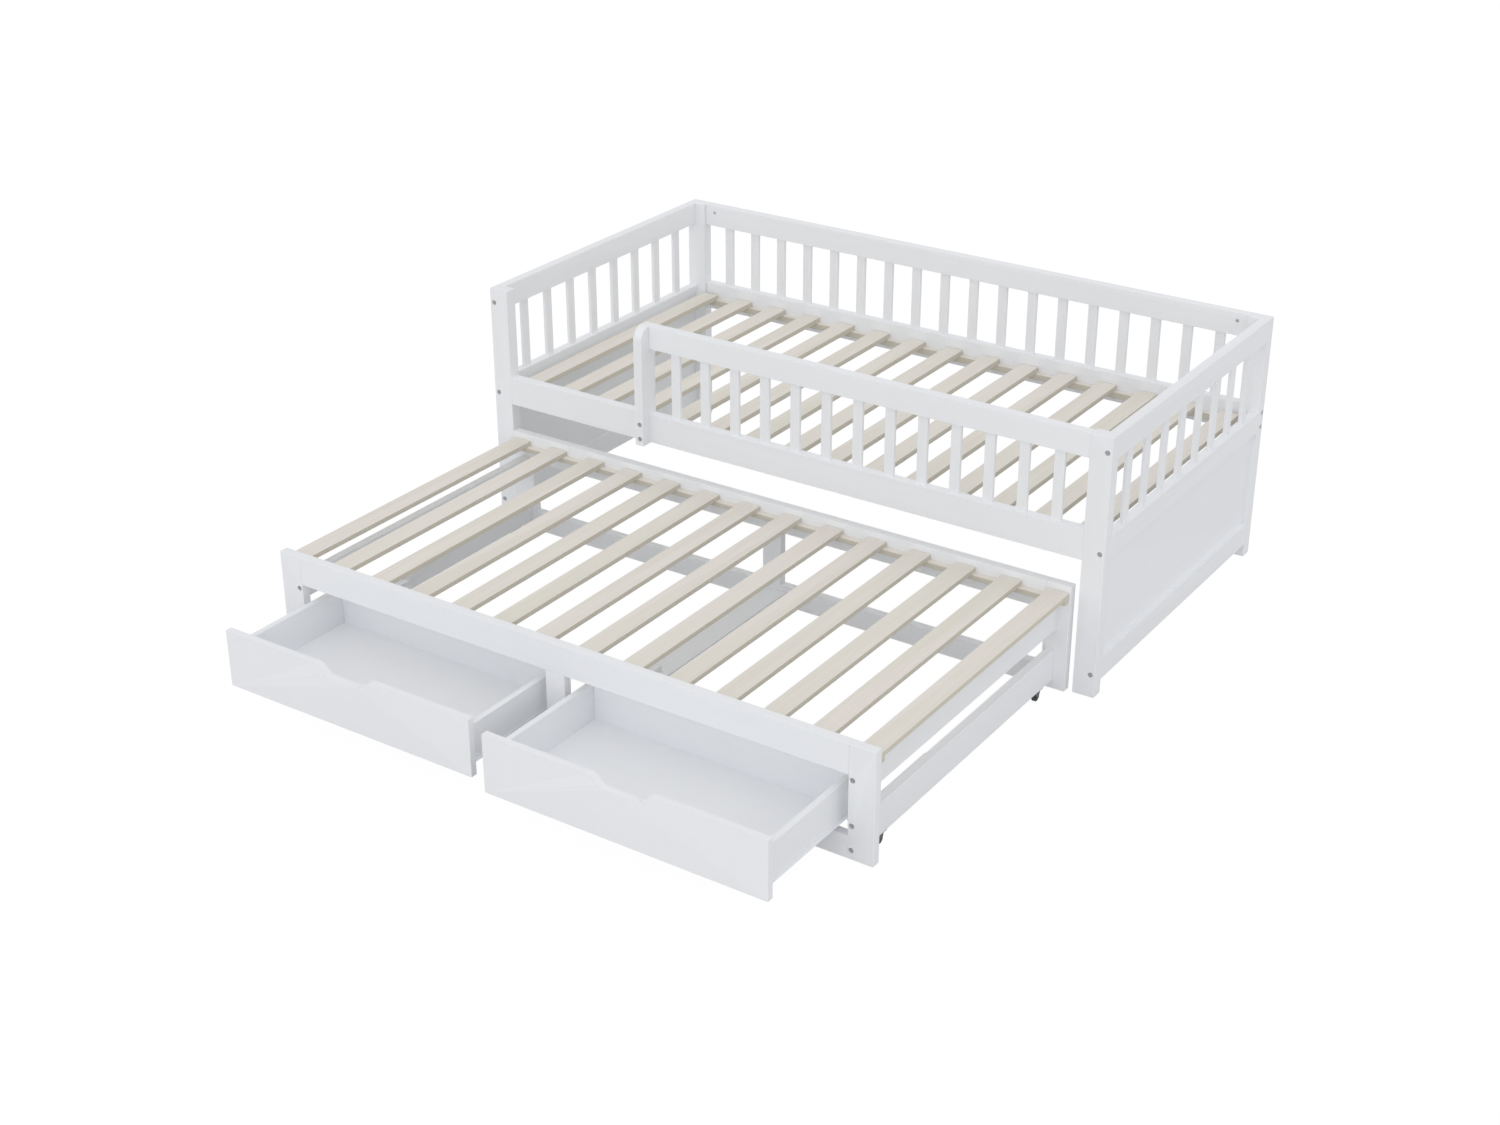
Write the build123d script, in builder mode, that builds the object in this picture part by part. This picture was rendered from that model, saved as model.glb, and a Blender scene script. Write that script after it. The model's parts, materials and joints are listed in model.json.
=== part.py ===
from build123d import *
import os

os.makedirs("parts", exist_ok=True)

# Trundle bed with two drawers, in millimetres, +Z up, X along the bed, front at -Y.
# It is built as it stands when opened: the trundle is rolled out in front of the bed
# and both drawers are pulled out of the trundle.

# ---------------------------------------------------------------- main bed
BED_L = 2000.0          # outside length, X
BED_W = 1046.0          # outside depth, Y
BED_H = 742.0           # post height
FRONT = 137.0           # Y of the bed's front face
BACK = FRONT + BED_W    # Y of the bed's back face
POST_X = 62.5           # post width along X
POST_Y = 38.0           # post thickness along Y
RAIL_T = 28.0           # thickness of every rail
TOP_Z0 = 673.4          # underside of the top rails
MID_Z0, MID_Z1 = 397.0, 460.0      # middle rail of the head and foot frames
LOW_Z0, LOW_Z1 = 40.5, 108.0       # bottom rail of the head and foot frames
PANEL_T = 8.0           # thin panel between middle and bottom rail
PANEL_IN = 15.5         # its outer face is this far in from the frame's outer face
SIDE_Z0, SIDE_Z1 = 388.0, 475.0    # long side rails
BAL_W, BAL_T = 30.0, 11.0          # baluster width and thickness
EASE = 1.5              # easing of the boards' long edges
BAL_EASE = 2.0          # of the balusters' edges
STRIP_EASE = 1.0        # of the ledger strips and battens

XO = BED_L / 2          # outer face of the head and foot frames
XI = XO - POST_X        # inner face of the posts

# guard rail on the right three quarters of the front
GUARD_X0 = -454.0       # left face of the guard's end board
GUARD_T = 28.0          # end board thickness, X
GUARD_OUT = 36.0        # how far the end board stands forward of the rail
GUARD_R = 38.0          # rounding of its top front corner

# bed slats
SLAT_W, SLAT_T = 56.5, 16.0
SLAT_TOP = 443.0
SLAT_N = 15
SLAT_SPAN = 1828.0      # first to last slat centre
LEDGE_W = 20.0          # ledger strips under the slats
LEDGE_H = 20.0
SLAT_GAP = 2.0          # end play of the slats between the rails
END_SLAT_GAP = 1.0      # and of the two outermost slats between the posts

# ---------------------------------------------------------------- trundle
TXC = 1.4               # centre of the trundle along X
T_HALF = 922.4          # half its length
T_Y0 = FRONT - 997.0    # its front face when rolled out
T_DEPTH = 1003.0
T_Y1 = T_Y0 + T_DEPTH
T_Z0, T_Z1 = 5.0, 314.3
T_BOARD = 26.0          # thickness of its frame boards
T_TOP_Z0 = 231.4        # underside of its top rails
T_LOW_Z1 = 67.0         # top of its bottom rails
T_POST = 71.4           # width of its end posts
T_CPOST = 59.0          # width of its centre posts
T_CPOST_X = TXC + 1.2   # and their centre
T_SIDE_X = 888.1        # outer face of its side rails, from the trundle's centre
T_SIDE_T = 24.0
T_UP_Z0, T_UP_Z1 = 182.0, 246.0
T_DN_Z0, T_DN_Z1 = 32.5, 123.0
T_SLAT_W, T_SLAT_T, T_SLAT_TOP, T_SLAT_N = 59.5, 14.5, 296.5, 14
T_SLAT_X0, T_SLAT_X1 = -885.0, 890.0   # first and last slat centres
T_LEDGE_W, T_LEDGE_H = 22.0, 15.0
T_LEDGE_IN = 5.0        # the ledgers stop this far short of the trundle's ends
BOARD_X0, BOARD_X1 = -43.0, 51.0       # flat centre board
BOARD_Z0, BOARD_Z1 = 34.0, 50.0

# casters: rigid, one under each end of both lower side rails
WHEEL_R = 12.5
WHEEL_W = 11.0
AXLE_R = 2.0
HUB_R, DISH_R, DISH_D = 4.0, 9.0, 2.0   # hub and the dished ring around it, on both faces
CASTER_Y = 101.0        # from the trundle's front or rear face to the wheel's centre
CASTER_X = T_SIDE_X - T_SIDE_T / 2

# ---------------------------------------------------------------- drawers
D_FRONT_W, D_FRONT_H, D_FRONT_T = 808.0, 160.4, 20.0
D_FRONT_Z0 = 68.2
D_BOX_W = 772.0         # outside width of the drawer box
D_BOX_Z0, D_BOX_Z1 = 86.0, 193.5
D_SIDE_T = 16.0
D_DEPTH = 402.0         # front face to the back of the box
D_FLOOR_Z, D_FLOOR_T = 90.0, 5.0
D_BACK_T = 15.0
LEFT_X, RIGHT_X = -434.3, 442.0        # drawer centres
LEFT_Y, RIGHT_Y = FRONT - 1287.0, FRONT - 1320.0    # front faces, pulled out
SCOOP_W, SCOOP_FLAT, SCOOP_D = 190.0, 80.0, 27.0    # hand cut-out in the top edge
SLIDE_GAP = 12.5        # room for one runner pair beside the box

# ---------------------------------------------------------------- bolts
HEAD_R, HEAD_T = 6.4, 4.0
FACE_R, STEP = 4.4, 1.8    # raised centre of the head, and the flange's step down from it
BORE_R = 7.2            # counterbore
SOCKET_R, SOCKET_D = 2.4, 1.2      # hexagon socket: radius across its corners, and depth
SHANK_R = 3.0
SHANK_BORE_R = 3.3
SINK = 0.5              # the heads sit this far below the wood
END_BOLT_IN = 14.0      # end bolts, in from the outer face of the head or foot frame
SIDE_BOLT_IN = 12.0     # bolts of the back side rail, in from the back
GUARD_BOLT_IN = 16.0    # guard bolts, in from the end board's left face


def board(x0, x1, y0, y1, z0, z1, ease=EASE):
    """A board between two corners, with every edge eased."""
    with Locations(((x0 + x1) / 2, (y0 + y1) / 2, (z0 + z1) / 2)):
        blank = Box(x1 - x0, y1 - y0, z1 - z0, mode=Mode.PRIVATE).solid()
    add(blank.fillet(ease, blank.edges()) if ease else blank)


def strips(boxes, ease, axis):
    """Several separate strips, eased along their length only."""
    for x0, x1, y0, y1, z0, z1 in boxes:
        with Locations(((x0 + x1) / 2, (y0 + y1) / 2, (z0 + z1) / 2)):
            blank = Box(x1 - x0, y1 - y0, z1 - z0, mode=Mode.PRIVATE).solid()
        add(blank.fillet(ease, blank.edges().filter_by(axis)))


def bolt_plane(x, y, z, out):
    return Plane(origin=(x, y, z), z_dir=out)


def bore(planes, length):
    """Counterbored clearance holes for bolts whose heads face along each plane's normal."""
    with Locations(*planes):
        Cylinder(SHANK_BORE_R, length + 1, align=(Align.CENTER, Align.CENTER, Align.MAX),
                 mode=Mode.SUBTRACT)
        Cylinder(BORE_R, HEAD_T + SINK, align=(Align.CENTER, Align.CENTER, Align.MAX),
                 mode=Mode.SUBTRACT)


def bolts(planes, length):
    """Connector bolts with a hexagon socket in a flanged head."""
    sunk = [p.offset(-SINK) for p in planes]
    flanges = [p.offset(-SINK - STEP) for p in planes]
    with Locations(*flanges):
        Cylinder(HEAD_R, HEAD_T - STEP, align=(Align.CENTER, Align.CENTER, Align.MAX))
    with Locations(*sunk):
        Cylinder(FACE_R, HEAD_T, align=(Align.CENTER, Align.CENTER, Align.MAX))
        Cylinder(SHANK_R, length - SINK, align=(Align.CENTER, Align.CENTER, Align.MAX))
    with BuildSketch(*sunk) as sockets:
        RegularPolygon(SOCKET_R, 6)
    extrude(sockets.sketch, amount=-SOCKET_D, mode=Mode.SUBTRACT)


def save(builder, name):
    builder.part.label = name
    export_step(builder.part, "parts/" + name + ".step")


# ---------------------------------------------------------------- bolt positions
END_BOLT_Z = (699.0, 417.0, 66.0)
END_BOLT_L = 80.0
front_end_bolts = {}
back_end_bolts = {}
for side in (-1, 1):
    bx = side * (XO - END_BOLT_IN)
    front_end_bolts[side] = [bolt_plane(bx, FRONT, z, (0, -1, 0)) for z in END_BOLT_Z]
    back_end_bolts[side] = [bolt_plane(bx, BACK, z, (0, 1, 0)) for z in END_BOLT_Z]

SIDE_BOLT_Z = (452.0, 408.0)
SIDE_BOLT_L = 100.0
back_side_bolts = {}
for side in (-1, 1):
    by = BACK - SIDE_BOLT_IN
    back_side_bolts[side] = [bolt_plane(side * XO, by, z, (side, 0, 0)) for z in SIDE_BOLT_Z]

GUARD_BOLT_L = 54.0
guard_bolts = []
for z in SIDE_BOLT_Z:
    guard_bolts.append(bolt_plane(GUARD_X0 + GUARD_BOLT_IN, FRONT - GUARD_OUT, z, (0, -1, 0)))

T_BOLT_Z = (219.6, 96.5, 30.0)
T_BOLT_L = 24.0
T_BOLT_X = 862.0
trundle_front_bolts = {}
trundle_rear_bolts = {}
for side in (-1, 1):
    bx = TXC + side * T_BOLT_X
    trundle_front_bolts[side] = [bolt_plane(bx, T_Y0, z, (0, -1, 0)) for z in T_BOLT_Z]
    trundle_rear_bolts[side] = [bolt_plane(bx, T_Y1, z, (0, 1, 0)) for z in T_BOLT_Z]

# ---------------------------------------------------------------- head and foot frames
for side, end in ((-1, "head"), (1, "foot")):
    x0, x1 = sorted((side * XO, side * XI))
    with BuildPart() as post_front:
        board(x0, x1, FRONT, FRONT + POST_Y, 0, BED_H)
        bore(front_end_bolts[side], END_BOLT_L)
    save(post_front, "post_" + end + "_front")

    with BuildPart() as post_back:
        board(x0, x1, BACK - POST_Y, BACK, 0, BED_H)
        bore(back_end_bolts[side], END_BOLT_L)
        bore(back_side_bolts[side], SIDE_BOLT_L)
    save(post_back, "post_" + end + "_back")

    r0, r1 = sorted((side * XO, side * (XO - RAIL_T)))
    y0, y1 = FRONT + POST_Y, BACK - POST_Y
    for name, z0, z1 in (("top", TOP_Z0, BED_H), ("mid", MID_Z0, MID_Z1), ("bottom", LOW_Z0, LOW_Z1)):
        with BuildPart() as rail:
            board(r0, r1, y0, y1, z0, z1)
            bore(front_end_bolts[side], END_BOLT_L)
            bore(back_end_bolts[side], END_BOLT_L)
        save(rail, end + "_" + name + "_rail")

    p0, p1 = sorted((side * (XO - PANEL_IN), side * (XO - PANEL_IN - PANEL_T)))
    with BuildPart() as panel:
        board(p0, p1, y0, y1, LOW_Z1, MID_Z0, ease=0)
    save(panel, end + "_panel")

# eight balusters in the head frame and eight in the foot frame
END_BAL_N = 8
end_gap = (BED_W - 2 * POST_Y - END_BAL_N * BAL_W) / (END_BAL_N + 1)
end_boxes = []
for side in (-1, 1):
    b0, b1 = sorted((side * (XO - RAIL_T / 2 - BAL_T / 2), side * (XO - RAIL_T / 2 + BAL_T / 2)))
    for i in range(END_BAL_N):
        yb = FRONT + POST_Y + end_gap + i * (end_gap + BAL_W)
        end_boxes.append((b0, b1, yb, yb + BAL_W, MID_Z1, TOP_Z0))
with BuildPart() as end_balusters:
    strips(end_boxes, BAL_EASE, Axis.Z)
save(end_balusters, "end_balusters")

# ---------------------------------------------------------------- back frame
# two short connector nuts in the inner face of its top rail, near the ends
NUT_IN = 34.5
NUT_Z, NUT_R, NUT_L = 718.0, 5.0, 13.0
NUT_BORE_R, NUT_BORE_D = 5.3, 14.0
nut_planes = [bolt_plane(s * (XI - NUT_IN), BACK - RAIL_T, NUT_Z, (0, -1, 0)) for s in (-1, 1)]
with BuildPart() as back_top_rail:
    board(-XI, XI, BACK - RAIL_T, BACK, TOP_Z0, BED_H)
    with Locations(*nut_planes):
        Cylinder(NUT_BORE_R, NUT_BORE_D, align=(Align.CENTER, Align.CENTER, Align.MAX),
                 mode=Mode.SUBTRACT)
save(back_top_rail, "back_top_rail")

with BuildPart() as back_side_rail:
    board(-XI, XI, BACK - RAIL_T, BACK, SIDE_Z0, SIDE_Z1)
    bore(back_side_bolts[-1], SIDE_BOLT_L)
    bore(back_side_bolts[1], SIDE_BOLT_L)
save(back_side_rail, "back_side_rail")

BACK_BAL_N = 18
back_gap = (2 * XI - BACK_BAL_N * BAL_W) / (BACK_BAL_N + 1)
yb0 = BACK - RAIL_T / 2 - BAL_T / 2
back_boxes = []
for i in range(BACK_BAL_N):
    xb = -XI + back_gap + i * (back_gap + BAL_W)
    back_boxes.append((xb, xb + BAL_W, yb0, yb0 + BAL_T, SIDE_Z1, TOP_Z0))
with BuildPart() as back_balusters:
    strips(back_boxes, BAL_EASE, Axis.Z)
save(back_balusters, "back_balusters")

# ---------------------------------------------------------------- front rail and guard
with BuildPart() as front_side_rail:
    board(-XI, XI, FRONT, FRONT + RAIL_T, SIDE_Z0, SIDE_Z1)
    bore(guard_bolts, GUARD_BOLT_L)
save(front_side_rail, "front_side_rail")

# end board of the guard: stands proud of the rail and is notched over it
GUARD_X1 = GUARD_X0 + GUARD_T
with BuildPart() as guard_post:
    with BuildSketch(Plane.YZ.offset(GUARD_X0)) as outline:
        with BuildLine():
            Polyline(
                (FRONT - GUARD_OUT, SIDE_Z0), (FRONT - GUARD_OUT, BED_H),
                (FRONT + RAIL_T, BED_H), (FRONT + RAIL_T, SIDE_Z1),
                (FRONT, SIDE_Z1), (FRONT, SIDE_Z0), close=True)
        make_face()
        top_corner = outline.vertices().group_by(Axis.Y)[-1].sort_by(Axis.X)[0]
        fillet(top_corner, GUARD_R)
    extrude(amount=GUARD_T)
    front_edges = guard_post.edges().filter_by(Axis.Z).group_by(Axis.Y)[0]
    fillet(front_edges, EASE)
    bore(guard_bolts, GUARD_BOLT_L)
save(guard_post, "guard_post")

with BuildPart() as guard_top_rail:
    board(GUARD_X1, XI, FRONT, FRONT + RAIL_T, TOP_Z0, BED_H)
save(guard_top_rail, "guard_top_rail")

GUARD_BAL_N = 13
guard_gap = (XI - GUARD_X1 - GUARD_BAL_N * BAL_W) / (GUARD_BAL_N + 1)
yg0 = FRONT + RAIL_T / 2 - BAL_T / 2
guard_boxes = []
for i in range(GUARD_BAL_N):
    xg = GUARD_X1 + guard_gap + i * (guard_gap + BAL_W)
    guard_boxes.append((xg, xg + BAL_W, yg0, yg0 + BAL_T, SIDE_Z1, TOP_Z0))
with BuildPart() as guard_balusters:
    strips(guard_boxes, BAL_EASE, Axis.Z)
save(guard_balusters, "guard_balusters")

# ---------------------------------------------------------------- bed slats on ledger strips
bed_y0, bed_y1 = FRONT + RAIL_T, BACK - RAIL_T
slat_bottom = SLAT_TOP - SLAT_T
with BuildPart() as bed_ledgers:
    for y0, y1 in ((bed_y0, bed_y0 + LEDGE_W), (bed_y1 - LEDGE_W, bed_y1)):
        board(-XI, XI, y0, y1, slat_bottom - LEDGE_H, slat_bottom, STRIP_EASE)
save(bed_ledgers, "bed_ledgers")

# the first and last slats reach past the posts' inner faces, between the posts
slat_y = (bed_y0 + SLAT_GAP, bed_y1 - SLAT_GAP)
slat_boxes = []
for i in range(SLAT_N):
    xc = -SLAT_SPAN / 2 + i * SLAT_SPAN / (SLAT_N - 1)
    ends = slat_y
    if i in (0, SLAT_N - 1):
        ends = (FRONT + POST_Y + END_SLAT_GAP, BACK - POST_Y - END_SLAT_GAP)
    slat_boxes.append((xc - SLAT_W / 2, xc + SLAT_W / 2, ends[0], ends[1], slat_bottom, SLAT_TOP))
with BuildPart() as bed_slats:
    strips(slat_boxes, EASE, Axis.Y)
save(bed_slats, "bed_slats")

with BuildPart() as bed_bolts:
    for side in (-1, 1):
        bolts(front_end_bolts[side], END_BOLT_L)
        bolts(back_end_bolts[side], END_BOLT_L)
        bolts(back_side_bolts[side], SIDE_BOLT_L)
    bolts(guard_bolts, GUARD_BOLT_L)
    with Locations(*nut_planes):
        Cylinder(NUT_R, NUT_L, align=(Align.CENTER, Align.CENTER, Align.MAX))
save(bed_bolts, "bed_bolts")

# ---------------------------------------------------------------- trundle front and rear frames
TX0, TX1 = TXC - T_HALF, TXC + T_HALF
spans = {
    "left": (TX0, TX0 + T_POST),
    "centre": (T_CPOST_X - T_CPOST / 2, T_CPOST_X + T_CPOST / 2),
    "right": (TX1 - T_POST, TX1),
}
frames = (
    ("front", T_Y0, T_Y0 + T_BOARD, trundle_front_bolts),
    ("rear", T_Y1 - T_BOARD, T_Y1, trundle_rear_bolts),
)
for where, y0, y1, bolt_sets in frames:
    for name, z0, z1 in (("top", T_TOP_Z0, T_Z1), ("bottom", T_Z0, T_LOW_Z1)):
        with BuildPart() as rail:
            board(TX0 + T_POST, TX1 - T_POST, y0, y1, z0, z1)
        save(rail, "trundle_" + where + "_" + name + "_rail")
    for name, (x0, x1) in spans.items():
        full = name != "centre"
        with BuildPart() as post:
            board(x0, x1, y0, y1, T_Z0 if full else T_LOW_Z1, T_Z1 if full else T_TOP_Z0)
            if full:
                bore(bolt_sets[-1 if name == "left" else 1], T_BOLT_L)
        save(post, "trundle_" + where + "_post_" + name)

# ---------------------------------------------------------------- trundle side rails
in_y0, in_y1 = T_Y0 + T_BOARD, T_Y1 - T_BOARD
for side, name in ((-1, "left"), (1, "right")):
    x0, x1 = sorted((TXC + side * T_SIDE_X, TXC + side * (T_SIDE_X - T_SIDE_T)))
    with BuildPart() as upper:
        board(x0, x1, in_y0, in_y1, T_UP_Z0, T_UP_Z1)
    save(upper, "trundle_side_rail_upper_" + name)
    with BuildPart() as lower:
        board(x0, x1, in_y0, in_y1, T_DN_Z0, T_DN_Z1)
    save(lower, "trundle_side_rail_lower_" + name)

with BuildPart() as trundle_centre_board:
    board(BOARD_X0, BOARD_X1, in_y0, in_y1, BOARD_Z0, BOARD_Z1)
save(trundle_centre_board, "trundle_centre_board")

# ---------------------------------------------------------------- trundle slats
t_slat_bottom = T_SLAT_TOP - T_SLAT_T
with BuildPart() as trundle_ledgers:
    for y0, y1 in ((in_y0, in_y0 + T_LEDGE_W), (in_y1 - T_LEDGE_W, in_y1)):
        board(TX0 + T_LEDGE_IN, TX1 - T_LEDGE_IN, y0, y1,
              t_slat_bottom - T_LEDGE_H, t_slat_bottom, STRIP_EASE)
save(trundle_ledgers, "trundle_ledgers")

t_boxes = []
for i in range(T_SLAT_N):
    xc = T_SLAT_X0 + i * (T_SLAT_X1 - T_SLAT_X0) / (T_SLAT_N - 1)
    t_boxes.append((xc - T_SLAT_W / 2, xc + T_SLAT_W / 2, in_y0 + SLAT_GAP, in_y1 - SLAT_GAP,
                    t_slat_bottom, T_SLAT_TOP))
with BuildPart() as trundle_slats:
    strips(t_boxes, EASE, Axis.Y)
save(trundle_slats, "trundle_slats")

with BuildPart() as trundle_bolts:
    for side in (-1, 1):
        bolts(trundle_front_bolts[side], T_BOLT_L)
        bolts(trundle_rear_bolts[side], T_BOLT_L)
save(trundle_bolts, "trundle_bolts")

# ---------------------------------------------------------------- drawer channels on the trundle
# Each channel is a steel C section beside the drawer box, open towards it. The outer pair
# stands on battens screwed to the lower side rails, the inner pair on feet on the centre board.
CH_T = 1.5              # sheet thickness
CH_LIP, CH_TOP_LIP = 9.5, 4.0      # widths of its lower and upper lips
CH_Z0, CH_Z1 = 70.0, 88.0
CH_Y0, CH_Y1 = in_y0 + 10.0, in_y0 + 362.0
CH_OPEN = 20.0          # length at the front where the upper lip is left off for the roller
BATTEN_Z0, BATTEN_Z1 = 66.0, 86.0
EAR_Z1, EAR_L = 92.0, 8.0          # raised ear of the web that carries the front roller's pin
FOOT_W = 16.0
FRONT_ROLLER_R, FRONT_ROLLER_W, FRONT_ROLLER_Z = 7.0, 4.6, 87.7
FRONT_ROLLER_AT = 3.0   # from the channel's front end
FRONT_ROLLER_X = 5.8    # from the web's outer face
ROLLER_PIN_R = 2.5
FRONT_PIN_X, FRONT_PIN_L = 2.5, 3.0
channel_faces = []
for xc in (LEFT_X, RIGHT_X):
    for side in (-1, 1):
        channel_faces.append((xc + side * (D_BOX_W / 2 + SLIDE_GAP), side))

with BuildPart() as runner_battens:
    outer_left = LEFT_X - D_BOX_W / 2 - SLIDE_GAP
    outer_right = RIGHT_X + D_BOX_W / 2 + SLIDE_GAP
    rail_in = T_SIDE_X - T_SIDE_T
    for x0, x1 in ((TXC - rail_in, outer_left), (outer_right, TXC + rail_in)):
        board(x0, x1, in_y0, CH_Y1, BATTEN_Z0, BATTEN_Z1, STRIP_EASE)
save(runner_battens, "runner_battens")


def span(a, b):
    """Centre and length of the stretch between two positions."""
    return (a + b) / 2, abs(b - a)


with BuildPart() as drawer_channels:
    for xw, side in channel_faces:
        inner = abs(xw) < T_HALF / 2
        web_x, web_w = span(xw, xw - side * CH_T)
        lip_x, lip_w = span(xw, xw - side * CH_LIP)
        foot_x, foot_w = span(xw - side * CH_T, xw + side * FOOT_W)
        web_z, web_h = span(BOARD_Z1 if inner else CH_Z0, CH_Z1)
        top_x, top_w = span(xw, xw - side * CH_TOP_LIP)
        ear_z, ear_h = span(CH_Z0, EAR_Z1)
        with BuildSketch(Plane.XZ.offset(-CH_Y0)):
            with Locations((web_x, web_z)):
                Rectangle(web_w, web_h)
            with Locations((lip_x, CH_Z0 + CH_T / 2)):
                Rectangle(lip_w, CH_T)
            if inner:
                with Locations((foot_x, BOARD_Z1 + CH_T / 2)):
                    Rectangle(foot_w, CH_T)
        extrude(amount=-(CH_Y1 - CH_Y0))
        with BuildSketch(Plane.XZ.offset(-(CH_Y0 + CH_OPEN))):
            with Locations((top_x, CH_Z1 - CH_T / 2)):
                Rectangle(top_w, CH_T)
        extrude(amount=-(CH_Y1 - CH_Y0 - CH_OPEN))
        with Locations((web_x, CH_Y0 + EAR_L / 2, ear_z)):
            Box(web_w, EAR_L, ear_h)
        roller_y = CH_Y0 + FRONT_ROLLER_AT
        with Locations(Location((xw - side * FRONT_ROLLER_X, roller_y, FRONT_ROLLER_Z), (0, 90, 0))):
            Cylinder(FRONT_ROLLER_R, FRONT_ROLLER_W)
        with Locations(Location((xw - side * FRONT_PIN_X, roller_y, FRONT_ROLLER_Z), (0, 90, 0))):
            Cylinder(ROLLER_PIN_R, FRONT_PIN_L)
save(drawer_channels, "drawer_channels")

# ---------------------------------------------------------------- casters
caster_centres = []
for side in (-1, 1):
    for yc in (T_Y0 + CASTER_Y, T_Y1 - CASTER_Y):
        caster_centres.append((TXC + side * CASTER_X, yc))

FORK_T = 1.8
FORK_IN = WHEEL_W / 2 + 0.8        # inner face of the fork's cheek, from the wheel's centre
FORK_TOP, FORK_TIP = 12.0, 5.5     # half widths of the cheek at the plate and at the axle
FORK_BELOW = 4.0                   # the cheek ends this far below the axle
FORK_EMBED = 1.0                   # and reaches this far into the plate
PLATE_X, PLATE_Y, PLATE_T = 22.0, 40.0, 2.0
AXLE_OUT = 0.8                     # the axle's riveted end outside the cheek
AXLE_FIT = 0.1                     # running clearance of the wheel on the axle
RIM_EASE = 1.5
with BuildPart() as caster_brackets:
    for cx, cy in caster_centres:
        with Locations((cx, cy, T_DN_Z0)):
            Box(PLATE_X, PLATE_Y, PLATE_T, align=(Align.CENTER, Align.CENTER, Align.MAX))
        for s in (-1, 1):
            with BuildSketch(Plane.YZ.offset(cx + s * (FORK_IN + FORK_T / 2) - FORK_T / 2)):
                with BuildLine():
                    Polyline(
                        (cy - FORK_TOP, T_DN_Z0 - FORK_EMBED), (cy + FORK_TOP, T_DN_Z0 - FORK_EMBED),
                        (cy + FORK_TIP, WHEEL_R - FORK_BELOW), (cy - FORK_TIP, WHEEL_R - FORK_BELOW),
                        close=True)
                make_face()
            extrude(amount=FORK_T)
        with Locations(Location((cx, cy, WHEEL_R), (0, 90, 0))):
            Cylinder(AXLE_R, 2 * (FORK_IN + FORK_T + AXLE_OUT))
save(caster_brackets, "caster_brackets")

names = ("front_left", "rear_left", "front_right", "rear_right")
for name, (cx, cy) in zip(names, caster_centres):
    with BuildPart() as wheel:
        with BuildSketch(Plane.YZ.offset(cx - WHEEL_W / 2)):
            with Locations((cy, WHEEL_R)):
                Circle(WHEEL_R)
                Circle(AXLE_R + AXLE_FIT, mode=Mode.SUBTRACT)
        extrude(amount=WHEEL_W)
        rims = wheel.edges().filter_by(GeomType.CIRCLE).sort_by(SortBy.RADIUS)[-2:]
        fillet(rims, RIM_EASE)
        for s in (-1, 1):
            with BuildSketch(Plane.YZ.offset(cx + s * (WHEEL_W / 2 - DISH_D / 2) - DISH_D / 2)):
                with Locations((cy, WHEEL_R)):
                    Circle(DISH_R)
                    Circle(HUB_R, mode=Mode.SUBTRACT)
            extrude(amount=DISH_D, mode=Mode.SUBTRACT)
    save(wheel, "caster_wheel_" + name)


# ---------------------------------------------------------------- drawers
RUN_T, RUN_LIP = 1.2, 8.0          # runner angle: sheet and width of its lower flange
RUN_Z0, RUN_Z1 = 95.0, 105.5
RUN_SHORT = 2.0                    # it stops this far short of the back of the box
TAB_Z0, TAB_L = 74.0, 16.0
REAR_ROLLER_R, REAR_ROLLER_W, REAR_ROLLER_Z = 6.5, 5.6, 79.0
REAR_ROLLER_IN = 22.0              # from the back of the box
REAR_ROLLER_X = 7.2                # from the side of the box
REAR_PIN_X, REAR_PIN_L = 2.8, 5.6
SCOOP_OVER = 5.0                   # the cut-out's tool reaches this far above the top edge


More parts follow.
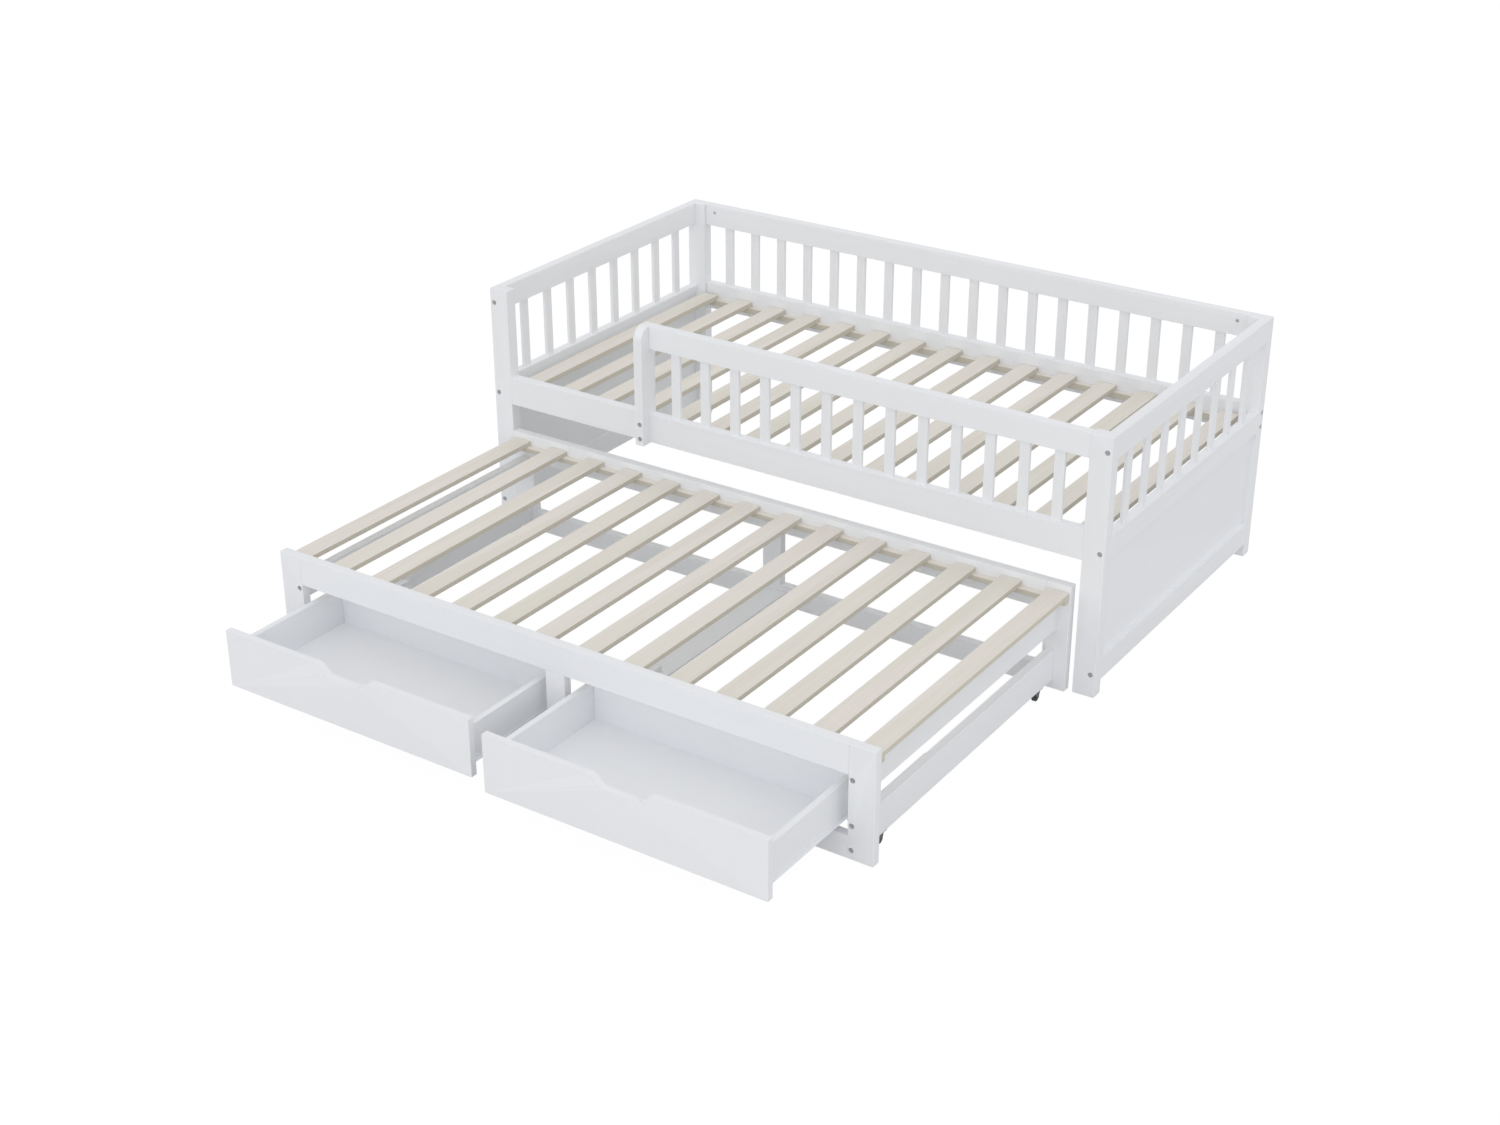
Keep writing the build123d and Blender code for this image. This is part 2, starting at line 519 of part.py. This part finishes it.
def drawer(name, xc, yf):
    half = D_BOX_W / 2
    yb = yf + D_DEPTH
    z1 = D_FRONT_Z0 + D_FRONT_H
    with BuildPart() as front:
        with BuildSketch(Plane.XZ.offset(-yf)) as face:
            with Locations((xc, D_FRONT_Z0 + D_FRONT_H / 2)):
                Rectangle(D_FRONT_W, D_FRONT_H)
            with BuildLine():
                a = (xc - SCOOP_W / 2, z1)
                b = (xc - SCOOP_FLAT / 2, z1 - SCOOP_D)
                c = (xc + SCOOP_FLAT / 2, z1 - SCOOP_D)
                d = (xc + SCOOP_W / 2, z1)
                Spline(a, b, tangents=((1, 0), (1, 0)))
                Line(b, c)
                Spline(c, d, tangents=((1, 0), (1, 0)))
                above = z1 + SCOOP_OVER
                Polyline(d, (xc + SCOOP_W / 2, above), (xc - SCOOP_W / 2, above), a)
            make_face(mode=Mode.SUBTRACT)
        extrude(amount=-D_FRONT_T)
        outer = front.edges().filter_by(Axis.Z)
        fillet(outer, EASE)
    save(front, name + "_drawer_front")

    y0 = yf + D_FRONT_T
    for side, tag in ((-1, "left"), (1, "right")):
        x0, x1 = sorted((xc + side * half, xc + side * (half - D_SIDE_T)))
        with BuildPart() as wall:
            board(x0, x1, y0, yb, D_BOX_Z0, D_BOX_Z1)
        save(wall, name + "_drawer_side_" + tag)

    with BuildPart() as back:
        board(xc - half + D_SIDE_T, xc + half - D_SIDE_T, yb - D_BACK_T, yb, D_BOX_Z0, D_BOX_Z1)
    save(back, name + "_drawer_back")

    with BuildPart() as floor:
        board(xc - half + D_SIDE_T, xc + half - D_SIDE_T, y0, yb - D_BACK_T,
              D_FLOOR_Z - D_FLOOR_T, D_FLOOR_Z, ease=0)
    save(floor, name + "_drawer_bottom")

    # steel runner on each side of the box: an angle that rests on the channel's front roller,
    # with its own roller on a tab at the rear
    with BuildPart() as runners:
        for side in (-1, 1):
            xw = xc + side * half
            web_x, web_w = span(xw, xw + side * RUN_T)
            lip_x, lip_w = span(xw, xw + side * RUN_LIP)
            web_z, web_h = span(RUN_Z0, RUN_Z1)
            tab_z, tab_h = span(TAB_Z0, RUN_Z0 + RUN_T)
            with BuildSketch(Plane.XZ.offset(-y0)):
                with Locations((web_x, web_z)):
                    Rectangle(web_w, web_h)
                with Locations((lip_x, RUN_Z0 + RUN_T / 2)):
                    Rectangle(lip_w, RUN_T)
            extrude(amount=-(yb - y0 - RUN_SHORT))
            roller_y = yb - REAR_ROLLER_IN
            with Locations((web_x, roller_y, tab_z)):
                Box(web_w, TAB_L, tab_h)
            with Locations(Location((xw + side * REAR_ROLLER_X, roller_y, REAR_ROLLER_Z), (0, 90, 0))):
                Cylinder(REAR_ROLLER_R, REAR_ROLLER_W)
            with Locations(Location((xw + side * REAR_PIN_X, roller_y, REAR_ROLLER_Z), (0, 90, 0))):
                Cylinder(ROLLER_PIN_R, REAR_PIN_L)
    save(runners, name + "_drawer_runners")


drawer("left", LEFT_X, LEFT_Y)
drawer("right", RIGHT_X, RIGHT_Y)
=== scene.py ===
import bpy
import json
import math
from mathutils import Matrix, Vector


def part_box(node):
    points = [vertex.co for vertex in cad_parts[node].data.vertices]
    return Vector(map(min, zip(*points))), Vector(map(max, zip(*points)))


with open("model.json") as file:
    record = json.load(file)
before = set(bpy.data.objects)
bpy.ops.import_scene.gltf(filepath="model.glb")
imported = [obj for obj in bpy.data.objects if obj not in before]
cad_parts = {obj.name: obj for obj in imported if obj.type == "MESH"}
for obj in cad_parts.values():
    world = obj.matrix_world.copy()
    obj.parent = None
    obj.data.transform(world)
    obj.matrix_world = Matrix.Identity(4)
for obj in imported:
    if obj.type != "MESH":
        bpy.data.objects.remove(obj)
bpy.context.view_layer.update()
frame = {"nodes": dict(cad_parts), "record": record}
nodes = frame["nodes"]


# ---------------------------------------------------------------- node helpers
BOARD_SHIFT = 37.0      # the most that a texture is moved from one board to another
EDGE_TURN = 1.0 / 6.0   # how far the rounded normal turns away before an edge counts fully


def material(name):
    """A new node material: returns it, its node tree and its Principled shader."""
    mat = bpy.data.materials.new(name)
    mat.use_nodes = True
    tree = mat.node_tree
    tree.nodes.clear()
    out = tree.nodes.new("ShaderNodeOutputMaterial")
    bsdf = tree.nodes.new("ShaderNodeBsdfPrincipled")
    tree.links.new(bsdf.outputs["BSDF"], out.inputs["Surface"])
    return mat, tree, bsdf


def node(tree, kind, **values):
    """A shader node with its properties set."""
    n = tree.nodes.new(kind)
    for key, value in values.items():
        setattr(n, key, value)
    return n


def stretched(tree, along, across, axis):
    """Object coordinates scaled for grain that runs along one axis: 0, 1 or 2."""
    coords = node(tree, "ShaderNodeTexCoord")
    mapping = node(tree, "ShaderNodeMapping")
    scale = [across] * 3
    scale[axis] = along
    mapping.inputs["Scale"].default_value = scale
    tree.links.new(coords.outputs["Object"], mapping.inputs["Vector"])
    return mapping.outputs["Vector"]


def offset_per_board(tree, vector):
    """Moves a texture by a random amount on each separate board, so that no two match."""
    geo = node(tree, "ShaderNodeNewGeometry")
    shift = node(tree, "ShaderNodeMath", operation="MULTIPLY")
    shift.inputs[1].default_value = BOARD_SHIFT
    tree.links.new(geo.outputs["Random Per Island"], shift.inputs[0])
    add = node(tree, "ShaderNodeVectorMath", operation="ADD")
    tree.links.new(vector, add.inputs[0])
    tree.links.new(shift.outputs[0], add.inputs[1])
    return add.outputs[0], geo


def noise(tree, vector, scale, detail=4.0, rough=0.55, distortion=0.0):
    """The grey value of a noise texture."""
    n = node(tree, "ShaderNodeTexNoise")
    n.inputs["Scale"].default_value = scale
    n.inputs["Detail"].default_value = detail
    n.inputs["Roughness"].default_value = rough
    n.inputs["Distortion"].default_value = distortion
    tree.links.new(vector, n.inputs["Vector"])
    return n.outputs["Fac"]


def ramp(tree, fac, stops):
    """A colour ramp with stops of (place, colour)."""
    r = node(tree, "ShaderNodeValToRGB")
    points = r.color_ramp.elements
    while len(points) < len(stops):
        points.new(0.5)
    for point, (place, colour) in zip(points, stops):
        point.position = place
        point.color = (*colour, 1.0)
    tree.links.new(fac, r.inputs["Fac"])
    return r.outputs["Color"]


def spread(tree, fac, lo0, hi0, lo1, hi1):
    """Maps the range lo0..hi0 to lo1..hi1, and holds its ends."""
    m = node(tree, "ShaderNodeMapRange")
    for i, v in zip((1, 2, 3, 4), (lo0, hi0, lo1, hi1)):
        m.inputs[i].default_value = v
    tree.links.new(fac, m.inputs[0])
    return m.outputs[0]


def blend(tree, fac, a, b, mode="MIX"):
    """Mixes two colours. Each of the three may be a constant or another node's output."""
    m = node(tree, "ShaderNodeMix", data_type="RGBA", blend_type=mode)
    for socket, value in ((m.inputs[0], fac), (m.inputs[6], a), (m.inputs[7], b)):
        if isinstance(value, (int, float)):
            socket.default_value = value
        elif isinstance(value, tuple):
            socket.default_value = (*value, 1.0)
        else:
            tree.links.new(value, socket)
    return m.outputs[2]


def edge_mask(tree, radius):
    """1 along the boards' eased edges and 0 on their flat faces."""
    bevel = node(tree, "ShaderNodeBevel", samples=4)
    bevel.inputs["Radius"].default_value = radius
    geo = node(tree, "ShaderNodeNewGeometry")
    dot = node(tree, "ShaderNodeVectorMath", operation="DOT_PRODUCT")
    tree.links.new(bevel.outputs[0], dot.inputs[0])
    tree.links.new(geo.outputs["True Normal"], dot.inputs[1])
    return spread(tree, dot.outputs["Value"], 1.0, 1.0 - EDGE_TURN, 0.0, 1.0)


def bumps(tree, bsdf, layers):
    """Chains height layers, each (factor, strength, depth in metres), into one normal."""
    last = None
    for fac, strength, depth in layers:
        b = node(tree, "ShaderNodeBump")
        b.inputs["Strength"].default_value = strength
        b.inputs["Distance"].default_value = depth
        tree.links.new(fac, b.inputs["Height"])
        if last is not None:
            tree.links.new(last, b.inputs["Normal"])
        last = b.outputs["Normal"]
    tree.links.new(last, bsdf.inputs["Normal"])


# ---------------------------------------------------------------- materials
PAINT_DULL, PAINT_CLEAN = (0.846, 0.862, 0.890), (0.862, 0.876, 0.901)
PAINT_GRAIN = (0.62, 0.61, 0.58)        # wood grain that shows faintly through the paint
PAINT_WORN = (0.86, 0.85, 0.82)         # rubbed edges
WOOD_SHADES = ((0.0, (0.752, 0.722, 0.660)), (0.35, (0.788, 0.760, 0.704)),
               (0.7, (0.790, 0.748, 0.702)), (1.0, (0.748, 0.730, 0.652)))
WOOD_GRAIN = (0.66, 0.59, 0.49)
WOOD_FIBRE = (0.58, 0.51, 0.41)
# colour for upright faces of bare wood: partly the saw-cut wood's own darker tone, partly
# painted shade
WOOD_SAWN_AND_SHADE = (0.60, 0.56, 0.47)
EDGE_WIDTH = 0.003                      # metres


def white_paint(name, axis):
    """Satin white paint on planed softwood whose grain runs along one axis."""
    mat, tree, bsdf = material(name)
    raw = stretched(tree, 1.0, 1.0, axis)
    grain_at, geo = offset_per_board(tree, stretched(tree, 1.6, 55.0, axis))
    cloud = noise(tree, raw, 2.2, 2.0)
    tone = ramp(tree, cloud, ((0.3, PAINT_DULL), (0.7, PAINT_CLEAN)))
    board = spread(tree, geo.outputs["Random Per Island"], 0.0, 1.0, 0.975, 1.0)
    tone = blend(tree, 1.0, tone, board, "MULTIPLY")
    grain = noise(tree, grain_at, 1.0, 5.0, 0.6, 0.4)
    faint = spread(tree, grain, 0.35, 0.75, 0.0, 0.035)
    tone = blend(tree, faint, tone, PAINT_GRAIN)
    edges = edge_mask(tree, EDGE_WIDTH)
    wear = noise(tree, raw, 26.0, 5.0, 0.65)
    rubbed = node(tree, "ShaderNodeMath", operation="MULTIPLY")
    tree.links.new(edges, rubbed.inputs[0])
    tree.links.new(spread(tree, wear, 0.45, 0.75, 0.0, 0.35), rubbed.inputs[1])
    tone = blend(tree, rubbed.outputs[0], tone, PAINT_WORN)
    tree.links.new(tone, bsdf.inputs["Base Color"])
    peel = noise(tree, raw, 420.0, 2.0)
    rough = noise(tree, raw, 14.0, 4.0)
    tree.links.new(spread(tree, rough, 0.3, 0.7, 0.40, 0.52), bsdf.inputs["Roughness"])
    bsdf.inputs["Specular IOR Level"].default_value = 0.42
    bumps(tree, bsdf, [(grain, 0.22, 0.0004), (peel, 0.12, 0.00015)])
    return mat


def bare_wood(name, axis):
    """Pale sanded softwood, each strip in its own tone; its upright saw-cut faces darker, partly
    their own tone and partly painted shade.
    """
    mat, tree, bsdf = material(name)
    grain_at, geo = offset_per_board(tree, stretched(tree, 1.3, 48.0, axis))
    strip = geo.outputs["Random Per Island"]
    shade = ramp(tree, strip, WOOD_SHADES)
    grain = noise(tree, grain_at, 1.0, 6.0, 0.62, 0.8)
    lines = spread(tree, grain, 0.42, 0.70, 0.0, 0.26)
    tone = blend(tree, lines, shade, WOOD_GRAIN)
    fibre_at, _ = offset_per_board(tree, stretched(tree, 6.0, 420.0, axis))
    fibre = noise(tree, fibre_at, 1.0, 3.0, 0.6)
    tone = blend(tree, spread(tree, fibre, 0.4, 0.8, 0.0, 0.12), tone, WOOD_FIBRE)
    # painted shade: every upright face (saw-cut sides and ends) is blended darker, partly as the
    # wood's own tone there and partly as the shade that falls between the strips
    normal = node(tree, "ShaderNodeSeparateXYZ")
    tree.links.new(geo.outputs["Normal"], normal.inputs[0])
    upright = node(tree, "ShaderNodeMath", operation="ABSOLUTE")
    tree.links.new(normal.outputs["Z"], upright.inputs[0])
    sawn_and_shade = spread(tree, upright.outputs[0], 0.2, 0.8, 0.8, 0.0)
    tone = blend(tree, sawn_and_shade, tone, WOOD_SAWN_AND_SHADE)
    tree.links.new(tone, bsdf.inputs["Base Color"])
    tree.links.new(spread(tree, grain, 0.3, 0.7, 0.62, 0.78), bsdf.inputs["Roughness"])
    bsdf.inputs["Specular IOR Level"].default_value = 0.3
    bumps(tree, bsdf, [(grain, 0.35, 0.0005), (fibre, 0.25, 0.0002)])
    return mat


def metal(name, colour, rough, metallic, scratch=0.3, stained=0.8):
    """Plated or coated steel with fine scratches and slight staining."""
    mat, tree, bsdf = material(name)
    raw = stretched(tree, 1.0, 1.0, 0)
    lines = noise(tree, stretched(tree, 30.0, 900.0, 0), 1.0, 3.0)
    stain = noise(tree, raw, 60.0, 4.0)
    dark = tuple(c * 0.72 for c in colour)
    tree.links.new(blend(tree, spread(tree, stain, 0.35, 0.75, 0.0, stained), colour, dark),
                   bsdf.inputs["Base Color"])
    tree.links.new(spread(tree, lines, 0.3, 0.7, rough - 0.08, rough + 0.12),
                   bsdf.inputs["Roughness"])
    bsdf.inputs["Metallic"].default_value = metallic
    bumps(tree, bsdf, [(lines, scratch, 0.0001), (stain, 0.1, 0.0002)])
    return mat


def plastic(name, colour, rough):
    """Moulded nylon with a fine texture and scuffing."""
    mat, tree, bsdf = material(name)
    raw = stretched(tree, 1.0, 1.0, 0)
    grain = noise(tree, raw, 900.0, 2.0)
    scuff = noise(tree, raw, 90.0, 5.0, 0.65)
    light = tuple(min(1.0, c * 1.9 + 0.03) for c in colour)
    tree.links.new(blend(tree, spread(tree, scuff, 0.5, 0.8, 0.0, 0.6), colour, light),
                   bsdf.inputs["Base Color"])
    tree.links.new(spread(tree, scuff, 0.3, 0.7, rough, rough + 0.2), bsdf.inputs["Roughness"])
    bumps(tree, bsdf, [(grain, 0.25, 0.0001), (scuff, 0.15, 0.0002)])
    return mat


paints = [white_paint("white_paint_" + "xyz"[i], i) for i in range(3)]
woods = [bare_wood("bare_wood_" + "xyz"[i], i) for i in range(3)]
zinc = metal("zinc_plate", (0.58, 0.59, 0.61), 0.36, 1.0)
coated = metal("white_coated_steel", (0.845, 0.86, 0.885), 0.36, 0.0, 0.1, 0.12)
fork_steel = metal("caster_steel", (0.23, 0.235, 0.245), 0.42, 1.0)
nylon = plastic("wheel_nylon", (0.045, 0.046, 0.05), 0.42)

slots = {p["node"]: p["material_slot"] for p in frame["record"]["subparts"]}


def long_axis(name):
    """The axis along which a node's boards run: 0, 1 or 2."""
    if "baluster" in name:
        return 2
    if "_slats" in name:
        return 1
    lo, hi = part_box(name)
    size = hi - lo
    return max(range(3), key=lambda i: size[i])


for name, obj in nodes.items():
    axis = long_axis(name)
    slot = slots[name]
    choice = {"white_wood": paints[axis], "bare_wood": woods[axis], "bolt_steel": zinc,
              "runner_steel": coated, "caster_steel": fork_steel, "wheel_plastic": nylon}[slot]
    obj.data.materials.clear()
    obj.data.materials.append(choice)

# ---------------------------------------------------------------- floor, light and camera
FLOOR_SIZE = 400.0      # metres
FLOOR_GREY = 0.72
FLOOR_GLOW = 1.04       # the floor is seen as nearly white, but lights the object as a grey one
GLOW_SHARE = 0.93       # the rest shows the soft shadow
SKY = 0.745
SUN_SPREAD = 90.0       # degrees
SUN_DISTANCE = 5.0      # where the sun's marker stands, without effect on the light


def floor():
    """A wide pale floor that the camera sees as nearly white, with a soft shadow on it."""
    mesh = bpy.data.meshes.new("floor")
    h = FLOOR_SIZE / 2
    mesh.from_pydata([(-h, -h, 0), (h, -h, 0), (h, h, 0), (-h, h, 0)], [], [(0, 1, 2, 3)])
    obj = bpy.data.objects.new("floor", mesh)
    bpy.context.scene.collection.objects.link(obj)
    mat, tree, bsdf = material("pale_floor")
    bsdf.inputs["Base Color"].default_value = (FLOOR_GREY, FLOOR_GREY, FLOOR_GREY, 1.0)
    bsdf.inputs["Roughness"].default_value = 0.9
    bsdf.inputs["Specular IOR Level"].default_value = 0.0
    glow = node(tree, "ShaderNodeEmission")
    glow.inputs["Strength"].default_value = FLOOR_GLOW
    path = node(tree, "ShaderNodeLightPath")
    share = node(tree, "ShaderNodeMath", operation="MULTIPLY")
    share.inputs[1].default_value = GLOW_SHARE
    mix = node(tree, "ShaderNodeMixShader")
    tree.links.new(path.outputs["Is Camera Ray"], share.inputs[0])
    tree.links.new(share.outputs[0], mix.inputs[0])
    tree.links.new(bsdf.outputs["BSDF"], mix.inputs[1])
    tree.links.new(glow.outputs["Emission"], mix.inputs[2])
    tree.links.new(mix.outputs[0], tree.nodes["Material Output"].inputs["Surface"])
    mesh.materials.append(mat)


def soft_sun(name, towards, strength):
    """A very wide sun that fills evenly and casts no shadow: the sky alone shades the gaps."""
    light = bpy.data.lights.new(name, "SUN")
    light.use_shadow = False
    light.angle = math.radians(SUN_SPREAD)
    light.energy = strength
    obj = bpy.data.objects.new(name, light)
    obj.location = Vector(towards) * SUN_DISTANCE
    obj.rotation_mode = "QUATERNION"
    obj.rotation_quaternion = (-Vector(towards)).to_track_quat("-Z", "Y")
    bpy.context.scene.collection.objects.link(obj)


floor()
world = bpy.data.worlds.new("studio")
world.use_nodes = True
world.node_tree.nodes["Background"].inputs["Color"].default_value = (1.0, 1.0, 1.0, 1.0)
world.node_tree.nodes["Background"].inputs["Strength"].default_value = SKY
bpy.context.scene.world = world
soft_sun("front", (0.0, -1.0, 0.0), 0.90)
soft_sun("foot_end", (1.0, 0.0, 0.0), 0.38)
soft_sun("top", (0.0, 0.0, 1.0), 0.31)

AZIMUTH, ELEVATION = math.radians(33.766), math.radians(26.548)
FOCAL_OVER_WIDTH = 2207.65 / 1500.0
CAMERA_AT = (3.04378, -4.54116, 2.90955)
SENSOR = 36.0           # millimetres
FAR_CLIP = 1000.0       # metres, beyond the floor's far edge
camera_data = bpy.data.cameras.new("camera")
camera_data.sensor_width = SENSOR
camera_data.lens = FOCAL_OVER_WIDTH * SENSOR
camera_data.clip_end = FAR_CLIP
camera = bpy.data.objects.new("camera", camera_data)
camera.location = CAMERA_AT
back = Vector((math.sin(AZIMUTH) * math.cos(ELEVATION), -math.cos(AZIMUTH) * math.cos(ELEVATION),
               math.sin(ELEVATION)))
camera.rotation_mode = "QUATERNION"
camera.rotation_quaternion = (-back).to_track_quat("-Z", "Y")
bpy.context.scene.collection.objects.link(camera)
bpy.context.scene.camera = camera
bpy.context.scene.view_settings.view_transform = "Standard"
